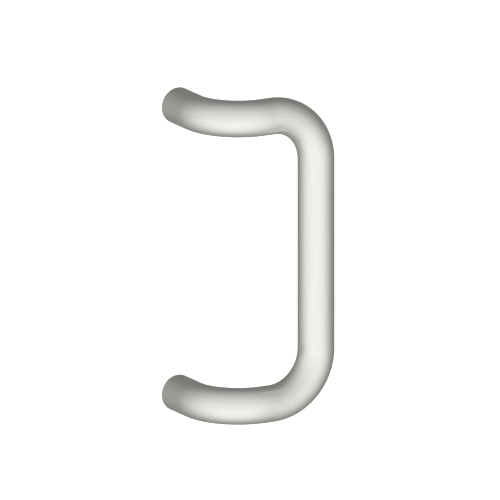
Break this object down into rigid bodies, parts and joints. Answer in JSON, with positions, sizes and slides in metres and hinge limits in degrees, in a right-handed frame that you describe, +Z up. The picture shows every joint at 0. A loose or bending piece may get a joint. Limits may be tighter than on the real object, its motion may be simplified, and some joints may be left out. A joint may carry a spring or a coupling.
{
  "type": "offset pull handle",
  "caption": "Offset door pull bent from round bar: two arms step out and sideways into an upright grip, with tapped ends for bolts through the door.",
  "frame": {"origin": "on the door face, midway between the two fixings", "axes": "+Y out of the handle and into the door, +Z up along the grip, +X sideways from the fixings to the grip"},
  "size_m": [0.1016, 0.0698, 0.2286],
  "materials": {
    "satin_aluminium": "satin"
  },
  "bodies": {
    "root": {"pull_bar": "satin_aluminium"}
  },
  "joints": []
}
